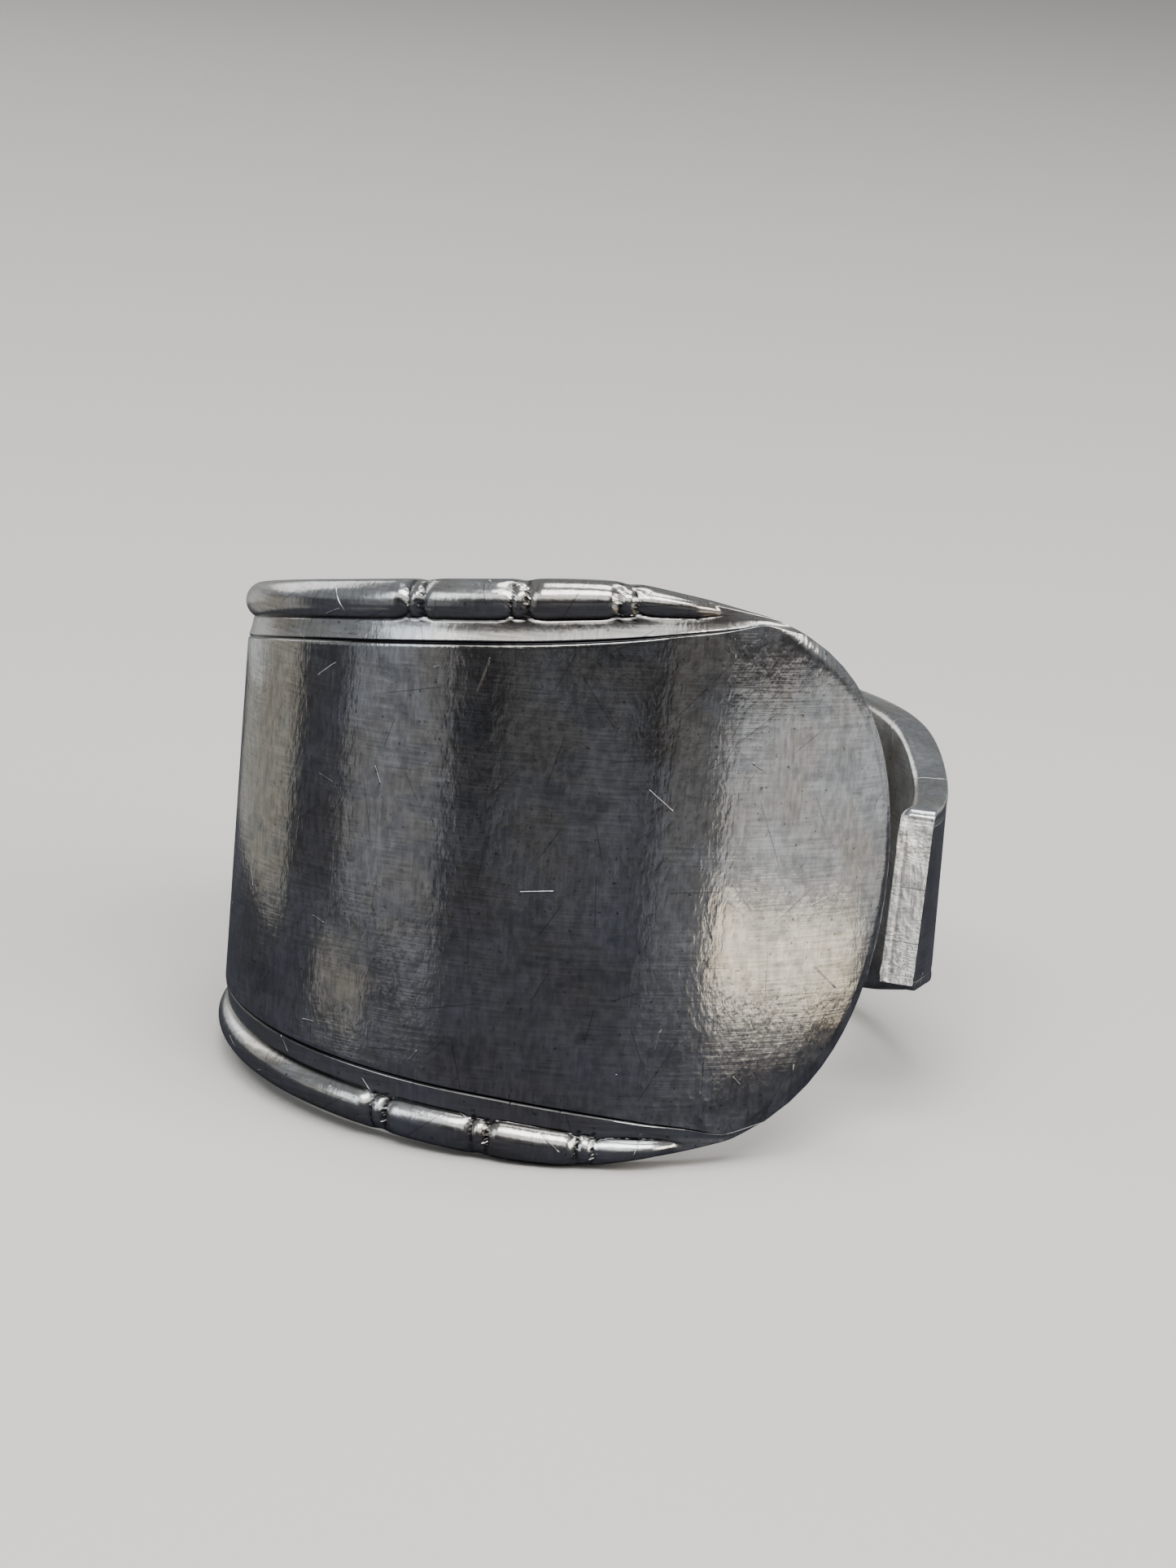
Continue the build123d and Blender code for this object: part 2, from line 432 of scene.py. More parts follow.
@dataclass
class FlatHandle:
    """The handle laid out flat, as a closed blank whose rows run across it.

    The outline's table gives the half width as a share of the way from the neck to the widest
    place, at shares of the handle's length. The side's table gives heights above the bore, with
    how far the wall lies inside the outline there. The row pitches give how far apart the rows
    are at places along the handle, and the border's steps give how many columns lead up to each
    share of its width. A fold's wave has its turns across and upwards, and where it starts.
    """

    sizes: HandleSizes = field(default_factory=HandleSizes)
    border: Border = field(default_factory=Border)
    row_pitches: Table = ((6.5, 0.13), (19.0, 0.13), (24.0, 0.24), (74.3, 0.30))
    pitch_samples: int = 4000
    seam_pitch: float = 0.4
    seam_reach: float = 0.5
    first_rows: tuple[float, ...] = (0.0, 0.04, 0.09, 0.15, 0.21, 0.28, 0.36, 0.45, 0.56)
    last_rows: tuple[float, ...] = (0.34, 0.24, 0.16, 0.10, 0.05, 0.0)
    border_steps: Table = ((0.57, 6), (0.68, 9), (0.93, 5), (0.955, 2), (1.045, 9), (1.10, 1))
    settling_steps: int = 24
    flank_steps: int = 10
    panel_steps: int = 30
    bore_steps: int = 16
    tip_fade: float = 36.0
    bore_fade: float = 3.0
    skew_fade: float = 7.0
    bevel_width: float = 0.42
    bevel_drop: float = 0.10
    bevel_round: float = 0.25
    bevel_corner: float = 7.0
    # Painted shade along the bevel's inner line, and how wide that line is.
    bevel_line: float = 0.45
    bevel_line_share: float = 0.15
    outline: Table = (
        (0.118, 0.938),
        (0.157, 1.000),
        (0.220, 0.962),
        (0.298, 0.877),
        (0.390, 0.762),
        (0.482, 0.662),
        (0.613, 0.515),
        (0.748, 0.400),
        (0.830, 0.354),
        (0.888, 0.269),
        (0.937, 0.085),
        (0.975, 0.010),
        (1.000, 0.000),
    )
    side: Table = (
        (0.80, 0.00),
        (0.60, 0.00),
        (0.45, 0.00),
        (0.34, 0.00),
        (0.27, 0.01),
        (0.20, 0.03),
        (0.12, 0.07),
        (0.03, 0.16),
        (0.00, 0.27),
    )
    corner_wear: float = 0.22
    corner_reach: float = 0.6
    saw_marks: float = 0.02
    saw_groove: float = 0.07
    saw_groove_height: float = 0.27
    saw_groove_width: float = 0.05
    saw_rim: float = 0.12
    chip_place: float = 2.1
    chip_width: float = 0.75
    chip_depth: float = 0.12
    chip_heights: Span = (0.2, 0.8)
    fold_depth: float = 0.06
    fold_waves: Table = ((7.0, 4.0, 0.0), (-3.0, 6.0, 1.0))
    seed: int = 7

    @property
    def depths(self) -> np.ndarray:
        """The heights above the bore of the lines along the side walls."""
        return np.array([row[0] for row in self.side])

    @property
    def insets(self) -> np.ndarray:
        """How far inside the outline the lines along the side walls lie."""
        return np.array([row[1] for row in self.side])

    def half_width(self, along: np.ndarray) -> np.ndarray:
        """Reads the outline, which runs on straight past the tip's corners.

        Args:
            along: Places along the handle.

        Returns:
            Half the handle's width at each place.
        """
        s = self.sizes
        corner = (s.tip_chord - s.neck_width) / (s.widest_width - s.neck_width)
        place = s.tip_depth / s.length
        flare = (self.outline[0][1] - corner) / (self.outline[0][0] - place)
        rows = ((0.0, corner - flare * place), (place, corner)) + self.outline
        share = read_table(rows, along / s.length)
        return (s.neck_width + share * (s.widest_width - s.neck_width)) / 2

    def row_ends(self) -> np.ndarray:
        """Spaces the rows, closer near the beads' seams and at both ends.

        Returns:
            Where the rows meet the long edges, measured along the handle.
        """
        start, end = self.sizes.tip_depth, self.sizes.length
        first = start + np.array(self.first_rows)
        last = end - np.array(self.last_rows)
        place = np.linspace(first[-1], last[0], self.pitch_samples)
        pitch = read_table(self.row_pitches, place)
        for reel in self.border.reels:
            near = np.exp(-(((place - (reel.start + reel.end) / 2) / self.seam_reach) ** 4))
            pitch = pitch * (1 - (1 - self.seam_pitch) * near)
        passed = np.concatenate([[0], np.cumsum(np.diff(place) / pitch[1:])])
        rows = np.interp(np.linspace(0, passed[-1], round(passed[-1]) + 1), passed, place)
        return np.concatenate([first, rows[1:-1], last])

    def row_shares(self, end: np.ndarray, half: np.ndarray) -> np.ndarray:
        """Finds the border's share where each row crosses its inner line.

        Args:
            end: Where each row meets the long edges.
            half: Half the width at each row.

        Returns:
            The border's share of its full width for each row.
        """
        share = self.border.share(end)
        for _ in range(self.settling_steps):
            across = (half - self.border.width * share)[:, None]
            crossed = self.border.share(self.along_at(end, across, half)[:, 0])
            share = (share + crossed) / 2
        return share

    def columns(self, half: np.ndarray, share: np.ndarray) -> np.ndarray:
        """Where each row's points lie across the handle.

        Args:
            half: Half the width at each row.
            share: The border's share of its full width at each row.

        Returns:
            One line of places across for each row, from the lower edge to the upper one.
        """
        turn = np.linspace(0, math.pi / 2, self.flank_steps + 1)
        lines = [self.border.bead_share * (1 - np.cos(turn))]
        for reach, steps in self.border_steps:
            lines.append(np.linspace(lines[-1][-1], reach, int(steps) + 1)[1:])
        inwards = np.concatenate(lines)
        edge = half[:, None] - inwards[None, :] * (self.border.width * share)[:, None]
        mix = np.linspace(0, 1, self.panel_steps + 1)[None, 1:-1]
        low, high = -edge[:, -1:], edge[:, -1:]
        return np.hstack([-edge, low + (high - low) * mix, edge[:, ::-1]])

    def along_at(self, end: np.ndarray, across: np.ndarray, half: np.ndarray) -> np.ndarray:
        """Where the points of each row lie along the handle.

        Each row bows towards the tip, most at the tip's own arc and less the further it is
        from it, and the last rows turn to the slant of the sawn end.

        Args:
            end: Where each row meets the long edges.
            across: The places of each row's points across the handle.
            half: Half the width at each row.

        Returns:
            The place of every point along the handle.
        """
        s = self.sizes
        chord = across / half[:, None] * (s.tip_chord / 2)
        arc = s.tip_radius - np.sqrt(np.maximum(s.tip_radius**2 - chord**2, 0))
        fade = np.clip(1 - (end - s.tip_depth) / self.tip_fade, 0, 1) ** 2
        bowed = end[:, None] - (s.tip_depth - arc) * fade[:, None]
        slant = np.clip(1 - (s.length - end) / self.skew_fade, 0, 1) ** 2
        return bowed - across * slant[:, None] * math.tan(math.radians(s.sawn_skew))

    def bevel(self, along: np.ndarray, across: np.ndarray) -> tuple[np.ndarray, np.ndarray]:
        """The bevel round the tip's edge.

        Args:
            along: Places along the handle.
            across: Places across it.

        Returns:
            How far the face drops at each point, as a share of the full bevel, and how
            strongly the bevel's inner line is darkened there with painted shade.
        """
        s = self.sizes
        back = s.tip_radius - along
        inwards = (s.tip_radius - np.hypot(back, across)) / self.bevel_width
        corner = math.asin(s.tip_chord / 2 / s.tip_radius)
        bearing = np.arctan2(np.abs(across), back)
        kept = np.clip((corner - bearing) / math.radians(self.bevel_corner), 0, 1)
        near = np.clip(1 - inwards, 0, 1)
        line = np.clip(1 - np.abs(inwards - 1) / self.bevel_line_share, 0, 1)
        return kept * ((1 - self.bevel_round) * near + self.bevel_round * near**3), kept * line

    def face(self) -> Face:
        """Lays out the decorated face, with its borders, its bevel and its worn corners.

        Returns:
            The face.
        """
        end = self.row_ends()
        half = self.half_width(end)
        across = self.columns(half, self.row_shares(end, half))
        along = self.along_at(end, across, half)
        inwards = np.clip(half[:, None] - np.abs(across), 0, None)
        relief, dirt = self.border.relief(along, inwards)
        drawn = self.border.notches(along, inwards)
        worn = np.clip(1 - (self.sizes.length - end) / self.last_rows[0], 0, 1) ** 2
        near = np.clip(1 - inwards / self.corner_reach, 0, 1)
        drawn = drawn + self.corner_wear * worn[:, None] * near
        across = np.sign(across) * (np.abs(across) - drawn)
        drop, line = self.bevel(along, across)
        depth = self.sizes.wall + relief - self.bevel_drop * drop
        across_border = inwards / (self.border.width * self.border.share(along))
        # The bevel's inner line adds painted shade to that of the border's recesses.
        return Face(end, half, np.stack([along, across, depth], axis=-1), across_border,
                    np.maximum(dirt, self.bevel_line * line))

    def saw_cut(self, across: np.ndarray, depth: np.ndarray) -> np.ndarray:
        """How far the sawn end's face is eaten in by the saw, a chip and a burr's groove.

        Args:
            across: Places across the end.
            depth: Heights above the bore.

        Returns:
            The depth of the marks at each point.
        """
        marks = self.saw_marks * np.random.default_rng(self.seed).random(across.shape)
        off = (depth - self.saw_groove_height) / self.saw_groove_width
        groove = np.exp(-(off**2)) * self.saw_groove
        chip = np.exp(-(((across - self.chip_place) / self.chip_width) ** 4))
        low, high = self.chip_heights
        folds = np.ones_like(across)
        for wave_across, wave_up, start in self.fold_waves:
            folds = folds * np.sin(wave_across * across + wave_up * depth + start)
        chip = chip * (self.chip_depth * np.clip((depth - low) / (high - low), 0, 1)
                       + self.fold_depth * folds)
        edge = np.clip((np.abs(across).max() - np.abs(across)) / self.saw_rim, 0, 1)
        return (marks + groove + chip) * edge

    def side_wall(self, skin: Skin, face: Face, top: np.ndarray, edge: LongEdge) -> np.ndarray:
        """Adds the points of the narrow wall along one long edge.

        Args:
            skin: The blank's mesh in the making.
            face: The decorated face.
            top: The face's point numbers.
            edge: The long edge that the wall is under.

        Returns:
            The wall's point numbers, from the face's edge down to the bore.
        """
        line = face.points[:, edge.value]
        inwards = -self.insets if edge is LongEdge.UPPER else self.insets
        block = np.empty((len(line), len(self.side), 3))
        block[:, :, 0] = line[:, 0, None]
        block[:, :, 1] = line[:, 1, None] + inwards
        block[:, :, 2] = self.depths
        return np.hstack([top[:, edge.value, None], skin.keep(block)])

    def bore_rows(self, skin: Skin, face: Face, low: np.ndarray, high: np.ndarray) -> np.ndarray:
        """Adds the points of the plain inside.

        Args:
            skin: The blank's mesh in the making.
            face: The decorated face.
            low: The lower wall's point numbers.
            high: The upper wall's point numbers.

        Returns:
            The inside's point numbers, row by row, with the walls' last lines as their ends.
        """
        inset = self.insets[-1]
        mix = np.linspace(-1, 1, self.bore_steps + 1)[None, 1:-1]
        across = (np.abs(face.points[:, :1, 1]) - inset) * mix
        along = self.along_at(face.end, across, face.half)
        fade = np.clip(1 - (face.end - self.sizes.tip_depth) / self.bore_fade, 0, 1)
        along = along + inset * fade[:, None]
        inner = skin.keep(np.stack([along, across, np.zeros_like(along)], axis=-1))
        return np.hstack([low[:, -1:], inner, high[:, -1:]])

    def end_wall(self, skin: Skin, face: Face, end: End, grids: list[np.ndarray]) -> np.ndarray:
        """Adds the points of the rounded tip's edge or of the sawn end.

        Args:
            skin: The blank's mesh in the making.
            face: The decorated face.
            end: The end that the wall is under.
            grids: The point numbers of the face and of the lower and upper walls.

        Returns:
            The end's point numbers, from the face down to the bore.
        """
        top, low, high = grids
        row = end.value
        line = face.points[row, 1:-1]
        inward = np.array([self.sizes.tip_radius, 0.0]) - line[:, :2]
        inward /= np.linalg.norm(inward, axis=1)[:, None]
        inset = self.insets[:-1, None, None] if end is End.TIP else 0.0
        block = np.empty((len(self.side) - 1, len(line), 3))
        block[:, :, :2] = line[:, :2] + inward * inset
        block[:, :, 2] = self.depths[:-1, None]
        if end is End.SAWN:
            block[:, :, 0] -= self.saw_cut(block[:, :, 1], block[:, :, 2])
        numbers = skin.keep(block)
        return np.vstack([
            top[row][None, :],
            np.hstack([low[row, 1:-1, None], numbers, high[row, 1:-1, None]]),
        ])

    def blank(self) -> bpy.types.Object:
        """Makes the blank, flat on the XY plane and closed all round.

        Returns:
            The object, with the attributes of a skin's mesh.
        """
        face = self.face()
        skin = Skin()
        top = skin.keep(face.points)
        low, high = (self.side_wall(skin, face, top, edge) for edge in LongEdge)
        inner = self.bore_rows(skin, face, low, high)
        tip, sawn = (self.end_wall(skin, face, end, [top, low, high]) for end in End)

        middle = (face.across_border[:-1, :-1] + face.across_border[1:, 1:]) / 2
        skin.cover(top, np.where(middle < 1.0, Zone.BORDER.value, Zone.PANEL.value))
        skin.cover(low, Zone.BORDER.value, flip=True)
        skin.cover(high, Zone.BORDER.value)
        skin.cover(inner, Zone.BORE.value, flip=True)
        skin.cover(tip, Zone.BORDER.value, flip=True)
        skin.cover(sawn, Zone.SAWN.value)
        skin.stitch(tip[-1], inner[0], Zone.BORE.value)
        skin.stitch(sawn[-1], inner[-1], Zone.BORE.value, flip=True)

        blank = bpy.data.objects.new("handle_blank", skin.mesh("handle_blank", face.dirt))
        bpy.context.scene.collection.objects.link(blank)
        return blank


class Nodes:
    """Adds nodes to a tree and joins them up."""

    def __init__(self, tree: bpy.types.NodeTree) -> None:
        """Keeps the tree that the nodes go into."""
        self.tree = tree

    def feed(self, socket: Socket, value: object) -> None:
        """Joins a socket to another one, or sets its own value.

        Args:
            socket: The socket to feed.
            value: The other socket, or the value.
        """
        if isinstance(value, bpy.types.NodeSocket):
            self.tree.links.new(value, socket)
        else:
            socket.default_value = value

    def add(self, kind: str, inputs: dict | None = None, **settings: object) -> bpy.types.Node:
        """Adds a node.

        Args:
            kind: The node's type.
            inputs: Values or sockets for its inputs, by their names or numbers.
            **settings: The node's own settings.

        Returns:
            The node.
        """
        node = self.tree.nodes.new(kind)
        for name, value in settings.items():
            setattr(node, name, value)
        for name, value in (inputs or {}).items():
            self.feed(node.inputs[name], value)
        return node

    def math(self, operation: str, *values: object) -> Socket:
        """Works out one number from others.

        Args:
            operation: What to do with them.
            *values: The numbers, or their sockets.

        Returns:
            The result's socket.
        """
        node = self.add("ShaderNodeMath", operation=operation)
        for socket, value in zip(node.inputs, values):
            self.feed(socket, value)
        return node.outputs[0]

    def scaled(self, vector: Socket, by: Triple) -> Socket:
        """Multiplies a vector's three parts by three numbers, and returns its socket."""
        node = self.add("ShaderNodeVectorMath", {0: vector, 1: by}, operation="MULTIPLY")
        return node.outputs[0]

    def noise(self, vector: Socket, scale: object, detail: float, roughness: float = 0.5) -> Socket:
        """Adds a noise pattern.

        Args:
            vector: Where the pattern is read.
            scale: How many lumps it has to a unit.
            detail: How many finer layers it has.
            roughness: How strong those are.

        Returns:
            The socket of its strength, about 0.5 on average.
        """
        node = self.add("ShaderNodeTexNoise", {"Vector": vector, "Scale": scale, "Detail": detail,
                                               "Roughness": roughness})
        return node.outputs["Fac"]

    def group(self, tree: bpy.types.NodeTree, inputs: dict) -> bpy.types.NodeOutputs:
        """Places a node group with its own values.

        Args:
            tree: The group.
            inputs: Values or sockets for its inputs, by name.

        Returns:
            The group's outputs.
        """
        node = self.add("ShaderNodeGroup", node_tree=tree)
        for name, value in inputs.items():
            self.feed(node.inputs[name], value)
        return node.outputs

    def blend(self, share: object, first: object, second: object) -> Socket:
        """Mixes two colours.

        Args:
            share: How much of the second colour there is.
            first: The first colour, a socket or three numbers.
            second: The second colour, likewise.

        Returns:
            The mix's socket.
        """
        node = self.add("ShaderNodeMix", {0: share}, data_type="RGBA")
        for socket, colour in ((node.inputs[6], first), (node.inputs[7], second)):
            self.feed(socket, (*colour, 1) if isinstance(colour, tuple) else colour)
        return node.outputs[2]

    def ramp(self, value: Socket, span: Span) -> Socket:
        """Turns a number into 0 at one end of a span and 1 at the other, smoothly.

        Args:
            value: The number's socket.
            span: The number that gives 0 and the one that gives 1.

        Returns:
            The result's socket.
        """
        node = self.add("ShaderNodeMapRange", {"Value": value, "From Min": span[0],
                                               "From Max": span[1]},
                        interpolation_type="SMOOTHSTEP")
        return node.outputs["Result"]


class NewTree(NamedTuple):
    """A node group in the making, with what its nodes are fed from and what they feed."""

    tree: bpy.types.NodeTree
    nodes: Nodes
    given: bpy.types.NodeOutputs
    wanted: bpy.types.NodeInputs


def new_tree(name: str, kind: str, inputs: dict[str, tuple], outputs: dict[str, str]) -> NewTree:
    """Makes a node group with named inputs and outputs.

    Args:
        name: The group's name.
        kind: The type of tree.
        inputs: For each input its socket type and its value, or None for no value.
        outputs: For each output its socket type.

    Returns:
        The group, its node helper, the outputs of its input node and the inputs of its
        output node.
    """
    tree = bpy.data.node_groups.new(name, kind)
    for label, (socket_type, value) in inputs.items():
        socket = tree.interface.new_socket(label, in_out="INPUT", socket_type=socket_type)
        if value is not None:
            socket.default_value = value
    for label, socket_type in outputs.items():
        tree.interface.new_socket(label, in_out="OUTPUT", socket_type=socket_type)
    nodes = Nodes(tree)
    given = nodes.add("NodeGroupInput").outputs
    wanted = nodes.add("NodeGroupOutput").inputs
    return NewTree(tree, nodes, given, wanted)


@dataclass
class RolledBand:
    """The finished ring: the flat handle rolled once round the finger hole.

    The unevenness is how far the wall swells in and out, and the swell size is how wide such a
    swell is, both in millimetres. Edges sharper than the crease angle stay crisp.
    """

    handle: FlatHandle = field(default_factory=FlatHandle)
    unevenness: float = 0.005
    swell_size: float = 5.0
    seed: float = 4.0
    crease_angle: float = 42.0

    def roller(self) -> bpy.types.NodeTree:
        """Builds the node tree that rolls the blank and gives it its materials.

        Returns:
            The tree, with named inputs for every size.
        """
        numbers = ("Bore Radius", "Face Radius", "Length", "Roll Drop", "Tip Bearing",
                   "Unevenness", "Swell Size", "Seed", "Lean Angle")
        inputs = {"Blank": ("NodeSocketGeometry", None)}
        inputs.update({name: (NUMBER, None) for name in numbers})
        inputs.update({name: (VECTOR, None) for name in ("Lean Axis", "Bore Centre")})
        inputs.update({zone.socket: ("NodeSocketMaterial", None) for zone in Zone})
        tree, nodes, given, wanted = new_tree("Roll Handle", "GeometryNodeTree", inputs,
                                              {"Band": "NodeSocketGeometry"})
        position = nodes.add("GeometryNodeInputPosition").outputs[0]
        flat = nodes.add("ShaderNodeSeparateXYZ", {0: position}).outputs
        swell = nodes.add("ShaderNodeTexNoise", {
            "Vector": position, "Scale": nodes.math("DIVIDE", 1.0, given["Swell Size"]),
            "Detail": 2.0, "W": given["Seed"]}, noise_dimensions="4D").outputs["Fac"]
        wave = nodes.math("MULTIPLY", nodes.math("SUBTRACT", swell, 0.5), given["Unevenness"])
        radius = nodes.math("ADD", nodes.math("ADD", given["Bore Radius"], flat["Z"]), wave)
        turn = nodes.math("SUBTRACT", given["Tip Bearing"],
                          nodes.math("DIVIDE", flat["X"], given["Face Radius"]))
        share = nodes.math("DIVIDE", flat["X"], given["Length"])
        drop = nodes.math("MULTIPLY", given["Roll Drop"], nodes.math("SUBTRACT", 0.5, share))
        rolled = nodes.add("ShaderNodeCombineXYZ", {
            "X": nodes.math("MULTIPLY", radius, nodes.math("COSINE", turn)),
            "Y": nodes.math("MULTIPLY", radius, nodes.math("SINE", turn)),
            "Z": nodes.math("ADD", flat["Y"], drop)}).outputs[0]
        leaning = nodes.add("ShaderNodeVectorRotate", {
            "Vector": rolled, "Axis": given["Lean Axis"], "Angle": given["Lean Angle"]},
            rotation_type="AXIS_ANGLE").outputs[0]
        placed = nodes.add("ShaderNodeVectorMath", {0: leaning, 1: given["Bore Centre"]},
                           operation="ADD").outputs[0]
        shape = nodes.add("GeometryNodeSetPosition", {"Geometry": given["Blank"],
                                                      "Position": placed}).outputs[0]
        shape = nodes.add("GeometryNodeRealizeInstances", {"Geometry": shape}).outputs[0]
        zone_number = nodes.add("GeometryNodeInputNamedAttribute", {"Name": "zone"},
                                data_type="INT").outputs["Attribute"]
        for zone in Zone:
            here = nodes.add("FunctionNodeCompare", {2: zone_number, 3: zone.value},
                             data_type="INT", operation="EQUAL")
            shape = nodes.add("GeometryNodeSetMaterial", {
                "Geometry": shape, "Selection": here.outputs[0],
                "Material": given[zone.socket]}).outputs[0]
        nodes.feed(wanted["Band"], shape)
        return tree

    def lean(self, axis: Vector) -> Lean:
        """The shortest turn from straight up to the bore's axis."""
        up = Vector((0, 0, 1))
        return Lean(up.cross(axis).normalized(), up.angle(axis))

    def build(self, mount: dict, finishes: dict[Zone, bpy.types.Material]) -> bpy.types.Object:
        """Makes the band and dresses it.

        Args:
            mount: The finger hole, from the frame's record.
            finishes: The material of each zone.

        Returns:
            The band as a plain mesh object.
        """
        blank = self.handle.blank()
        sizes = self.handle.sizes
        tree = self.roller()
        lean = self.lean(Vector(mount["axis"]))
        values = {
            "Bore Radius": sizes.bore_radius * MM,
            "Face Radius": sizes.face_radius * MM,
            "Length": sizes.length * MM,
            "Roll Drop": sizes.roll_drop * MM,
            "Tip Bearing": math.radians(sizes.tip_bearing),
            "Unevenness": self.unevenness * MM,
            "Swell Size": self.swell_size * MM,
            "Seed": self.seed,
            "Lean Axis": lean.hinge,
            "Lean Angle": lean.angle,
            "Bore Centre": Vector(mount["pos_m"]),
        }
        values.update({zone.socket: finish for zone, finish in finishes.items()})
        modifier = blank.modifiers.new("roll", "NODES")
        modifier.node_group = tree
        for item in tree.interface.items_tree:
            if item.in_out == "INPUT" and item.name in values:
                modifier[item.identifier] = values[item.name]
        graph = bpy.context.evaluated_depsgraph_get()
        mesh = bpy.data.meshes.new_from_object(
            blank.evaluated_get(graph), preserve_all_data_layers=True, depsgraph=graph)
        bpy.data.objects.remove(blank)
        mesh.name = "rolled_band"
        mesh.set_sharp_from_angle(angle=math.radians(self.crease_angle))
        band = bpy.data.objects.new("rolled_band", mesh)
        bpy.context.scene.collection.objects.link(band)
        return band


@dataclass
class SteelMarks:
    """The shader groups that put marks on the steel. They work in millimetres on the blank.

    A stretch multiplies places along, across and through the handle before a pattern is read
    there, so a small number draws the pattern out. A span turns a pattern's strength into 0 at
    its first number and 1 at its second.
    """

    pebble_stretch: Triple = (1.0, 0.5, 1.0)
    pebble_span: Span = (0.3, 0.7)
    lengthwise_stretch: Triple = (0.55, 9.5, 5.0)
    crosswise_stretch: Triple = (9.5, 0.8, 5.0)
    brush_span: Span = (0.3, 0.7)
    patch_span: Span = (0.40, 0.58)
    least_brushing: float = 0.3
    nick_end: Span = (1.0, 0.6)
    nick_side: Span = (1.0, 0.4)
    nick_chance: Span = (0.45, 0.5)
    least_nick: float = 0.4
    cloud_span: Span = (0.36, 0.64)
    stain_stretch: Triple = (1.0, 1.7, 1.0)
    stain_span: Span = (0.56, 0.61)
    mottle_scale: float = 0.35
    mottle_span: Span = (0.35, 0.65)
    speck_span: Span = (0.70, 0.76)

    def __post_init__(self) -> None:
        """Builds each group once."""
        self.pebble = self.make_pebble()
        self.brushing = self.make_brushing()
        self.nicks = self.make_nicks()
        self.tarnish = self.make_tarnish()

    def make_pebble(self) -> bpy.types.NodeTree:
        """Makes the pebbled skin that a tumbled handle has, drawn out across the handle.

        Returns:
            The group.
        """
        tree, nodes, given, wanted = new_tree(
            "Pebbled Skin", "ShaderNodeTree",
            {"Place": (VECTOR, None), "Fineness": (NUMBER, 4.0),
             "Warp": (NUMBER, 0.15)},
            {"Height": NUMBER})
        drawn = nodes.scaled(given["Place"], self.pebble_stretch)
        lumps = nodes.add("ShaderNodeTexNoise", {
            "Vector": drawn, "Scale": given["Fineness"], "Detail": 2.0, "Roughness": 0.5,
            "Distortion": given["Warp"]}).outputs["Fac"]
        height = nodes.math("SUBTRACT", nodes.ramp(lumps, self.pebble_span), 0.5)
        nodes.feed(wanted["Height"], height)
        return tree

    def make_brushing(self) -> bpy.types.NodeTree:
        """Makes the fine brushed lines, in patches along the handle and faintly across it.

        Returns:
            The group.
        """
        tree, nodes, given, wanted = new_tree(
            "Brushed Lines", "ShaderNodeTree",
            {"Place": (VECTOR, None), "Patch Fineness": (NUMBER, 0.55)},
            {"Height": NUMBER, "Patches": NUMBER})
        drawn = (nodes.scaled(given["Place"], stretch)
                 for stretch in (self.lengthwise_stretch, self.crosswise_stretch))
        lines = (nodes.noise(place, 1.0, detail=2.5, roughness=0.6) for place in drawn)
        lengthwise, crosswise = (nodes.math("SUBTRACT", nodes.ramp(line, self.brush_span), 0.5)
                                 for line in lines)
        patches = nodes.noise(given["Place"], given["Patch Fineness"], detail=2.0)
        patches = nodes.ramp(patches, self.patch_span)
        along = nodes.math("MULTIPLY", lengthwise,
                           nodes.math("ADD", patches, self.least_brushing))
        across = nodes.math("MULTIPLY", crosswise, nodes.math("SUBTRACT", 1.0, patches))
        nodes.feed(wanted["Height"], nodes.math("ADD", along, across))
        nodes.feed(wanted["Patches"], patches)
        return tree

    def make_nicks(self) -> bpy.types.NodeTree:
        """Makes short straight nicks, one to a cell, each turned its own way.

        Returns:
            The group.
        """
        tree, nodes, given, wanted = new_tree(
            "Short Nicks", "ShaderNodeTree",
            {"Place": (VECTOR, None), "Cells": (NUMBER, 0.3),
             "Length": (NUMBER, 0.5), "Width": (NUMBER, 0.035),
             "Turn": (NUMBER, 6.28)},
            {"Mask": NUMBER})
        flat = nodes.scaled(given["Place"], (1.0, 1.0, 0.0))
        cells = nodes.add("ShaderNodeTexVoronoi", {"Vector": flat, "Scale": given["Cells"]},
                          voronoi_dimensions="3D")
        chance = nodes.add("ShaderNodeSeparateColor", {0: cells.outputs["Color"]}).outputs
        centre = cells.outputs["Position"]
        away = nodes.add("ShaderNodeVectorMath", {0: flat, 1: centre},
                         operation="SUBTRACT").outputs[0]
        turned = nodes.add("ShaderNodeVectorRotate", {
            "Vector": away, "Angle": nodes.math("MULTIPLY", chance["Red"], given["Turn"])},
            rotation_type="Z_AXIS").outputs[0]
        part = nodes.add("ShaderNodeSeparateXYZ", {0: turned}).outputs
        reach = nodes.math("MULTIPLY", given["Length"],
                           nodes.math("ADD", chance["Green"], self.least_nick))
        length = nodes.math("DIVIDE", nodes.math("ABSOLUTE", part["X"]), reach)
        width = nodes.math("DIVIDE", nodes.math("ABSOLUTE", part["Y"]), given["Width"])
        inside = nodes.math("MULTIPLY", nodes.ramp(length, self.nick_end),
                            nodes.ramp(width, self.nick_side))
        kept = nodes.ramp(chance["Blue"], self.nick_chance)
        nodes.feed(wanted["Mask"], nodes.math("MULTIPLY", inside, kept))
        return tree

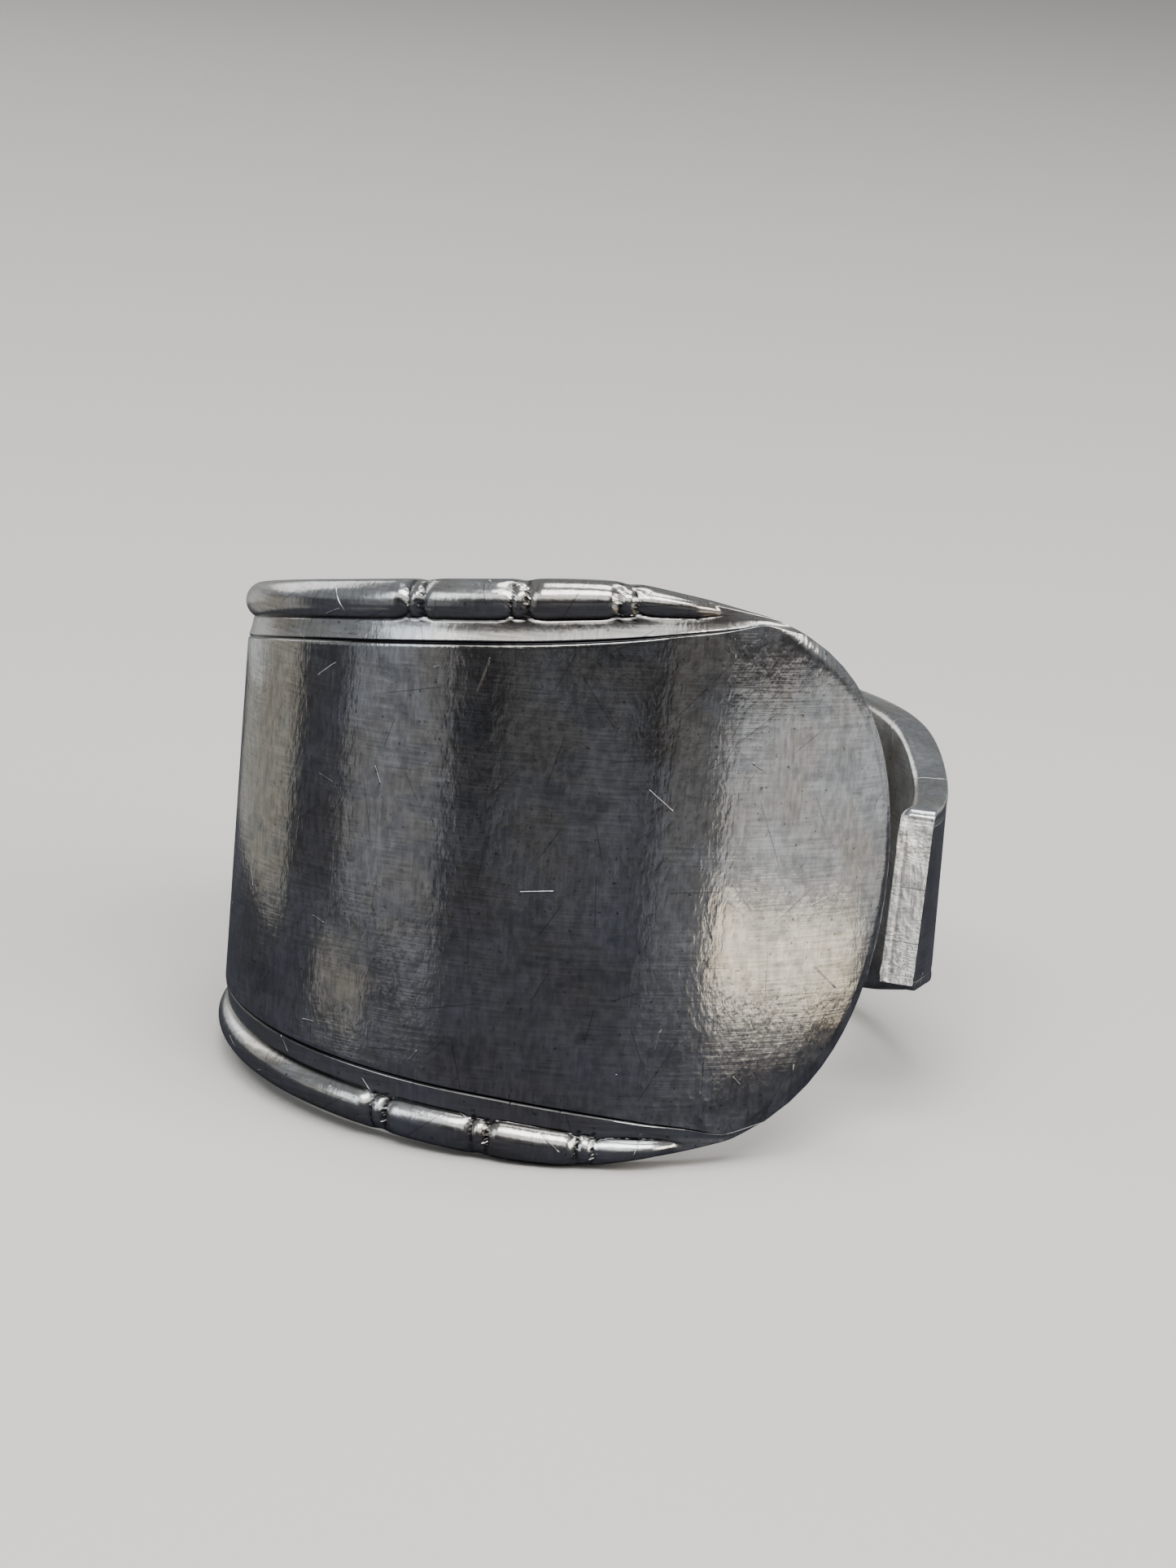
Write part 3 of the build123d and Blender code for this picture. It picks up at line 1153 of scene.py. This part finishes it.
    def make_tarnish(self) -> bpy.types.NodeTree:
        """Makes the wide clouds and the small dark specks of steel that has been worn.

        Returns:
            The group.
        """
        tree, nodes, given, wanted = new_tree(
            "Tarnish", "ShaderNodeTree",
            {"Place": (VECTOR, None), "Cloud Fineness": (NUMBER, 0.3),
             "Stain Fineness": (NUMBER, 0.5), "Speck Fineness": (NUMBER, 6.0)},
            {"Clouds": NUMBER, "Stains": NUMBER, "Mottle": NUMBER, "Specks": NUMBER})
        place = given["Place"]
        clouds = nodes.noise(place, given["Cloud Fineness"], detail=4.0, roughness=0.55)
        coarse = nodes.math("MULTIPLY", given["Speck Fineness"], self.mottle_scale)
        mottle = nodes.noise(place, coarse, detail=4.0, roughness=0.65)
        specks = nodes.noise(place, given["Speck Fineness"], detail=1.0)
        drawn = nodes.scaled(place, self.stain_stretch)
        stains = nodes.noise(drawn, given["Stain Fineness"], detail=2.5)
        nodes.feed(wanted["Clouds"], nodes.ramp(clouds, self.cloud_span))
        nodes.feed(wanted["Stains"], nodes.ramp(stains, self.stain_span))
        nodes.feed(wanted["Mottle"], nodes.ramp(mottle, self.mottle_span))
        nodes.feed(wanted["Specks"], nodes.ramp(specks, self.speck_span))
        return tree


@dataclass(frozen=True)
class SteelFinish:
    """How one zone of the steel was left: its colours, its gloss and the depth of its marks.

    Depths and lengths are in millimetres, and fineness and cells are counted to a millimetre.
    Smooth and rough are the least and the most roughness. The others are shares.
    """

    name: str
    warm: Colour = (0.49, 0.47, 0.44)
    cool: Colour = (0.54, 0.56, 0.58)
    grime: Colour = (0.10, 0.095, 0.09)
    # Painted shade: the near-black colour of the border's crease, fine line and seams.
    recess_shade: Colour = (0.02, 0.02, 0.022)
    stain: Colour = (0.31, 0.33, 0.35)
    staining: float = 0.5
    grain: float = 0.34
    streaks: float = 0.27
    mottle: float = 0.1
    specks: float = 0.7
    smooth: float = 0.13
    rough: float = 0.2
    pebble: float = 0.0045
    pebble_fineness: float = 4.6
    brushing: float = 0.001
    nick_depth: float = 0.02
    nick_cells: float = 0.3
    scratch_cells: float = 0.5
    scratch_length: float = 1.2
    scratch_width: float = 0.022
    scratch_turn: float = 2.2
    scratch_dirt: float = 0.6

    def material(self, marks: SteelMarks) -> bpy.types.Material:
        """Makes the material of this finish.

        Args:
            marks: The shared groups of marks.

        Returns:
            The material.
        """
        material = bpy.data.materials.new(self.name)
        material.use_nodes = True
        nodes = Nodes(material.node_tree)
        shader = material.node_tree.nodes["Principled BSDF"]
        place = nodes.add("ShaderNodeAttribute", attribute_name="place").outputs["Vector"]
        held = nodes.add("ShaderNodeAttribute", attribute_name="dirt").outputs["Fac"]
        tarnish = nodes.group(marks.tarnish, {"Place": place})
        pebble = nodes.group(marks.pebble, {"Place": place, "Fineness": self.pebble_fineness})
        brushing = nodes.group(marks.brushing, {"Place": place})
        nicks = nodes.group(marks.nicks, {"Place": place, "Cells": self.nick_cells})
        scratches = nodes.group(marks.nicks, {
            "Place": place, "Cells": self.scratch_cells, "Length": self.scratch_length,
            "Width": self.scratch_width, "Turn": self.scratch_turn})

        tone = nodes.blend(tarnish["Clouds"], self.warm, self.cool)
        stained = nodes.math("MULTIPLY", tarnish["Stains"], self.staining)
        tone = nodes.blend(stained, tone, self.stain)
        pebbled = nodes.math("ADD", 1.0, nodes.math("MULTIPLY", pebble["Height"], self.grain))
        streaked = nodes.math("MULTIPLY", brushing["Height"], self.streaks)
        strength = nodes.math("ADD", pebbled, streaked)
        tone = nodes.add("ShaderNodeVectorMath", {0: tone, 3: strength},
                         operation="SCALE").outputs[0]
        # Real grime: the mottle, the specks and the scratches darken the tone.
        dirt = nodes.math("MULTIPLY", nodes.math("SUBTRACT", 1.0, tarnish["Mottle"]), self.mottle)
        for mask, amount in ((tarnish["Specks"], self.specks),
                             (scratches["Mask"], self.scratch_dirt)):
            dirt = nodes.math("MAXIMUM", dirt, nodes.math("MULTIPLY", mask, amount))
        tone = nodes.blend(dirt, tone, self.grime)
        # Painted shade: the mesh's shade attribute darkens the colour to near black in the crease,
        # the fine line, the seams and the bevel's inner line.
        nodes.feed(shader.inputs["Base Color"], nodes.blend(held, tone, self.recess_shade))
        shader.inputs["Metallic"].default_value = 1.0

        haze = nodes.math("ADD", tarnish["Clouds"], brushing["Patches"])
        gloss = nodes.add("ShaderNodeMapRange", {
            "Value": nodes.math("MULTIPLY", haze, 0.5), "To Min": self.smooth,
            "To Max": self.rough}).outputs["Result"]
        nodes.feed(shader.inputs["Roughness"], gloss)

        height = nodes.math("ADD", nodes.math("MULTIPLY", pebble["Height"], self.pebble),
                            nodes.math("MULTIPLY", brushing["Height"], self.brushing))
        cut = nodes.math("MULTIPLY", nicks["Mask"], self.nick_depth)
        height = nodes.math("SUBTRACT", height, cut)
        bump = nodes.add("ShaderNodeBump", {"Height": height, "Distance": MM, "Strength": 1.0})
        nodes.feed(shader.inputs["Normal"], bump.outputs[0])
        return material


@dataclass(frozen=True)
class Softbox:
    """A soft light round the ring, in degrees and millimetres.

    The azimuth counts from the camera's side towards its right. The level is above the floor, the
    distance is on the floor, the size is width and height, and the glow is the light's radiance.
    """

    name: str
    azimuth: float
    level: float
    distance: float
    size: tuple[float, float]
    glow: float
    colour: Colour

    @property
    def place(self) -> Vector:
        """Where the light hangs.

        Returns:
            Its place, in metres.
        """
        turn = math.radians(self.azimuth)
        place = Vector((math.sin(turn), -math.cos(turn), 0)) * self.distance * MM
        place.z = self.level * MM
        return place

    def facing(self, aim: Vector) -> Quaternion:
        """The turn that points the light at a place."""
        return (self.place - aim).to_track_quat("Z", "Y")

    def hang(self, aim: Vector) -> bpy.types.Object:
        """Puts the light in its place.

        Args:
            aim: The middle of the ring, in metres.

        Returns:
            The light.
        """
        data = bpy.data.lights.new(self.name, "AREA")
        data.shape = "RECTANGLE"
        data.size, data.size_y = self.size[0] * MM, self.size[1] * MM
        data.energy = self.glow * math.pi * data.size * data.size_y
        data.color = self.colour
        light = bpy.data.objects.new(self.name, data)
        light.location = self.place
        light.rotation_euler = self.facing(aim).to_euler()
        bpy.context.scene.collection.objects.link(light)
        return light


@dataclass(frozen=True)
class Card(Softbox):
    """A lit card that is only mirrored in the metal. It may be rolled, in degrees."""

    roll: float = 0.0

    def facing(self, aim: Vector) -> Quaternion:
        """The turn that points the card at a place, with its own roll."""
        return super().facing(aim) @ Quaternion((0, 0, 1), math.radians(self.roll))

    def hang(self, aim: Vector) -> bpy.types.Object:
        """Puts the card in its place.

        Args:
            aim: The middle of the ring, in metres.

        Returns:
            The card's light.
        """
        light = super().hang(aim)
        light.visible_camera = False
        light.visible_diffuse = False
        return light


@dataclass
class Studio:
    """A pale floor, soft lights and a camera at the photograph's angle, in millimetres.

    The eye and the camera's right are in the upright ring's own frame. The room's spans are read
    on a direction's part away from the camera and on its part upwards: the room is dim up to the
    first number and light from the second one on.
    """

    eye: Triple = (0.0, -148.68, 23.95)
    right: Triple = (0.9969, 0.0133, 0.0781)
    lens: float = 99.0
    sensor: float = 36.0
    clip: Span = (10.0, 20000.0)
    floor_reach: float = 1200.0
    floor_tone: Colour = (0.66, 0.65, 0.63)
    floor_roughness: float = 0.8
    floor_in_metal: Colour = (0.042, 0.044, 0.054)
    room_pale: Colour = (0.22, 0.22, 0.22)
    room_dim: Colour = (0.035, 0.034, 0.036)
    room_light: Colour = (0.30, 0.31, 0.32)
    behind_span: Span = (-0.8, 0.3)
    above_span: Span = (0.15, 0.9)
    softboxes: tuple[Softbox, ...] = (
        Softbox("key", 64, 150, 320, (220, 160), 6.0, (1.0, 0.94, 0.86)),
        Softbox("cool", -66, 170, 380, (180, 200), 2.2, (0.90, 0.95, 1.0)),
        Softbox("back_left", -140, 170, 400, (260, 200), 1.8, (1.0, 0.98, 0.92)),
        Softbox("front", 0, 330, 210, (420, 150), 10.0, (1.0, 0.99, 0.97)),
        Softbox("top", 170, 420, 70, (260, 200), 6.0, (1.0, 0.99, 0.97)),
        Card("front_mid", -20, 130, 190, (360, 90), 1.5, (1.0, 0.99, 0.96)),
        Card("low_right", 56, 3.8, 27, (23.5, 3.6), 1.6, (1.0, 0.80, 0.52), roll=-8.0),
        Card("tall_right", 74, 6.6, 38, (57, 13), 0.62, (1.0, 0.98, 0.94)),
        Card("front_right", 29, 10, 62, (22, 20), 0.11, (1.0, 0.98, 0.95)),
        Card("front_low", -8, 12, 70, (50, 13), 0.07, (0.96, 0.98, 1.0)),
        Card("low_left", -117, 8.1, 32, (26, 14.8), 0.31, (1.0, 0.95, 0.79)),
        Card("cool_left", -60, 11, 60, (38, 22), 0.19, (0.97, 0.98, 1.0)),
        Card("patch_left", -66, 1.4, 31, (10, 2.6), 0.25, (1.0, 0.95, 0.80)),
        Card("back_right", 140, 9, 52, (52, 17), 0.45, (1.0, 0.97, 0.92)),
        Card("back_low", 205, 9, 60, (60, 17), 0.3, (0.95, 0.97, 1.0)),
    )

    def floor(self) -> bpy.types.Object:
        """Lays the floor under the ring.

        Returns:
            The floor.
        """
        mesh = bpy.data.meshes.new("floor")
        far = self.floor_reach * MM
        mesh.from_pydata([(-far, -far, 0), (far, -far, 0), (far, far, 0), (-far, far, 0)], [],
                         [(0, 1, 2, 3)])
        material = bpy.data.materials.new("pale_floor")
        material.use_nodes = True
        nodes = Nodes(material.node_tree)
        pale = material.node_tree.nodes["Principled BSDF"]
        pale.inputs["Base Color"].default_value = (*self.floor_tone, 1)
        pale.inputs["Roughness"].default_value = self.floor_roughness
        shade = nodes.add("ShaderNodeBsdfDiffuse", {"Color": (*self.floor_in_metal, 1)})
        mirrored = nodes.add("ShaderNodeLightPath").outputs["Is Glossy Ray"]
        either = nodes.add("ShaderNodeMixShader", {0: mirrored, 1: pale.outputs[0],
                                                   2: shade.outputs[0]})
        nodes.feed(material.node_tree.nodes["Material Output"].inputs["Surface"],
                   either.outputs[0])
        mesh.materials.append(material)
        floor = bpy.data.objects.new("floor", mesh)
        bpy.context.scene.collection.objects.link(floor)
        return floor

    def camera(self, mount: dict, lean: Lean, aim: Vector) -> bpy.types.Object:
        """Sets the camera where the photograph was taken from, as seen from the ring.

        Args:
            mount: The finger hole, from the frame's record.
            lean: How the ring leans.
            aim: The middle of the ring, in metres.

        Returns:
            The camera.
        """
        turn = Matrix.Rotation(lean.angle, 3, lean.hinge)
        place = Vector(mount["pos_m"]) + turn @ Vector(self.eye) * MM
        back = (place - aim).normalized()
        right = turn @ Vector(self.right)
        right = (right - right.dot(back) * back).normalized()
        up = back.cross(right)
        data = bpy.data.cameras.new("camera")
        data.lens, data.sensor_width = self.lens, self.sensor
        data.clip_start, data.clip_end = (end * MM for end in self.clip)
        camera = bpy.data.objects.new("camera", data)
        camera.matrix_world = Matrix((right, up, back)).transposed().to_4x4()
        camera.location = place
        bpy.context.scene.collection.objects.link(camera)
        bpy.context.scene.camera = camera
        return camera

    def room(self) -> bpy.types.World:
        """Sets the glow of the room: even and pale, but dim where the metal mirrors the front.

        Returns:
            The world.
        """
        world = bpy.data.worlds.new("room")
        world.use_nodes = True
        nodes = Nodes(world.node_tree)
        glow = world.node_tree.nodes["Background"]
        way = nodes.add("ShaderNodeTexCoord").outputs["Generated"]
        part = nodes.add("ShaderNodeSeparateXYZ", {0: way}).outputs
        light = nodes.math("MAXIMUM", nodes.ramp(part["Y"], self.behind_span),
                           nodes.ramp(part["Z"], self.above_span))
        tone = nodes.blend(light, self.room_dim, self.room_light)
        mirrored = nodes.add("ShaderNodeLightPath").outputs["Is Glossy Ray"]
        nodes.feed(glow.inputs["Color"], nodes.blend(mirrored, self.room_pale, tone))
        bpy.context.scene.world = world
        return world

    def build(self, mount: dict, lean: Lean, aim: Vector) -> None:
        """Sets up the whole studio round the ring.

        Args:
            mount: The finger hole, from the frame's record.
            lean: How the ring leans.
            aim: The middle of the ring, in metres.
        """
        floor = self.floor()
        camera = self.camera(mount, lean, aim)
        lights = [softbox.hang(aim) for softbox in self.softboxes]
        world = self.room()
        log.info("%s, %s, %s and %d lights", floor.name, camera.name, world.name, len(lights))


FINISHES: dict[Zone, SteelFinish] = {
    Zone.PANEL: SteelFinish("satin_panel"),
    Zone.BORDER: SteelFinish("bright_border", mottle=0.12, smooth=0.17, rough=0.24, pebble=0.003,
                             brushing=0.0004, nick_cells=0.6, staining=0.15, grain=0.05),
    Zone.BORE: SteelFinish("plain_bore", smooth=0.26, rough=0.4, pebble=0.003, staining=0.3,
                           grain=0.1),
    Zone.SAWN: SteelFinish("sawn_end", warm=(0.86, 0.84, 0.80), cool=(0.90, 0.90, 0.89),
                           smooth=0.6, rough=0.75, pebble=0.02, pebble_fineness=5.0,
                           brushing=0.012, staining=0.0),
}


def main() -> None:
    """Builds the ring and the studio round it."""
    logging.basicConfig(level=logging.INFO, format="%(message)s")
    mount = next(m for m in frame["record"]["mounts"] if m["kind"] == "bore")
    marks = SteelMarks()
    band = RolledBand()
    ring = band.build(mount, {zone: finish.material(marks) for zone, finish in FINISHES.items()})
    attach(ring, "root")
    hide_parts("ring_band")
    log.info("%s: %d faces", ring.name, len(ring.data.polygons))
    low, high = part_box("ring_band")
    Studio().build(mount, band.lean(Vector(mount["axis"])), (low + high) / 2)


if __name__ == "__main__":
    main()
